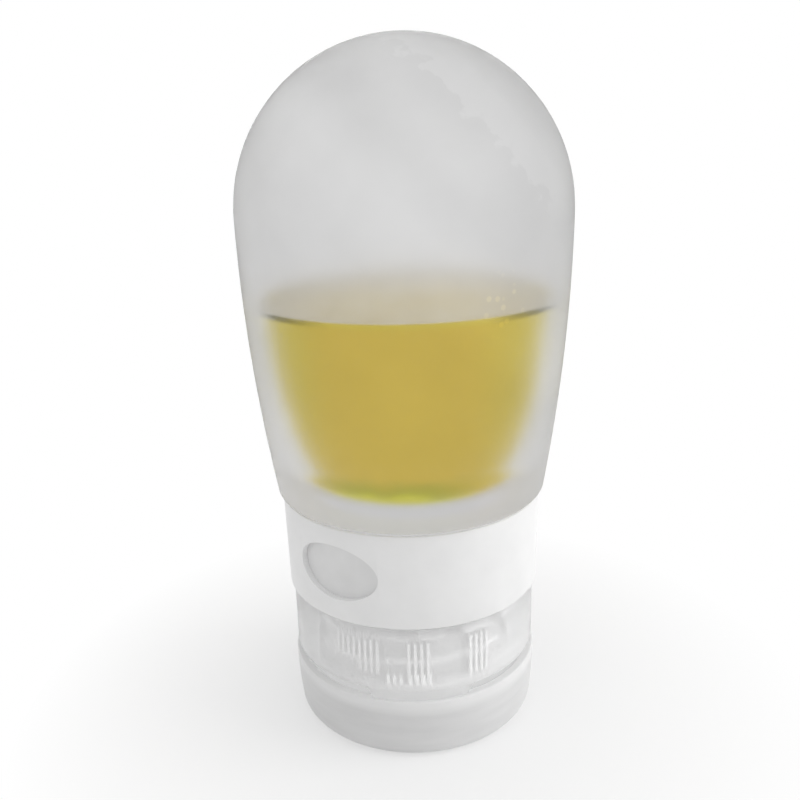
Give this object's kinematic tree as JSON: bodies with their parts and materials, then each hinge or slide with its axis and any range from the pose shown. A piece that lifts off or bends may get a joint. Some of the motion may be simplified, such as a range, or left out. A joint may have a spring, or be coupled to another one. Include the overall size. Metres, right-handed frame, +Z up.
{
  "type": "squeeze bottle",
  "caption": "Travel squeeze bottle of frosted silicone, standing upside down on its flip lid, with a label dial and a screw cap holding a slit valve.",
  "frame": {"origin": "centre of the lid's flat foot, which the bottle stands on", "axes": "+Z up along the bottle's axis, towards its round end; +Y towards the lid's hinge; -Y is the front that the picture shows"},
  "size_m": [0.0524, 0.0524, 0.1111],
  "materials": {
    "squeeze_body": "translucent frosted silicone",
    "neck_ring": "natural polypropylene, moulded",
    "label_ring": "white polypropylene, moulded",
    "label_collar": "white polypropylene, satin",
    "seal_washer": "translucent silicone",
    "cap_core": "natural polypropylene, moulded",
    "cap_shell": "natural polypropylene, fine frosted",
    "drip_valve": "translucent silicone",
    "valve_retainer": "white polypropylene, moulded",
    "flip_lid": "natural polypropylene, fine frosted"
  },
  "bodies": {
    "bottle": {"squeeze_body": "squeeze_body", "neck_ring": "neck_ring", "label_ring": "label_ring"},
    "dial": {"label_collar": "label_collar"},
    "seal": {"seal_washer": "seal_washer"},
    "cap": {"cap_core": "cap_core", "cap_shell": "cap_shell", "drip_valve": "drip_valve", "valve_retainer": "valve_retainer"},
    "lid": {"flip_lid": "flip_lid"}
  },
  "joints": [
    {"name": "label_dial", "type": "hinge", "parent": "bottle", "child": "dial", "pos_m": [0, 0, 0.0318], "axis": [0, 0, 1], "continuous": true},
    {"name": "thread_rise", "type": "slide", "parent": "bottle", "child": "seal", "axis": [0, 0, -1], "range_m": [0, 0.0052]},
    {"name": "cap_unscrew", "type": "hinge", "parent": "seal", "child": "cap", "pos_m": [0, 0, 0.0121], "axis": [0, 0, -1], "range_deg": [0, 440]},
    {"name": "lid_flip", "type": "hinge", "parent": "cap", "child": "lid", "pos_m": [0, 0.0203, 0.0115], "axis": [1, 0, 0], "range_deg": [0, 145]}
  ],
  "couplings": [
    {"joint": "thread_rise", "follows": "cap_unscrew", "m_per_rad": 0.00066845}
  ]
}
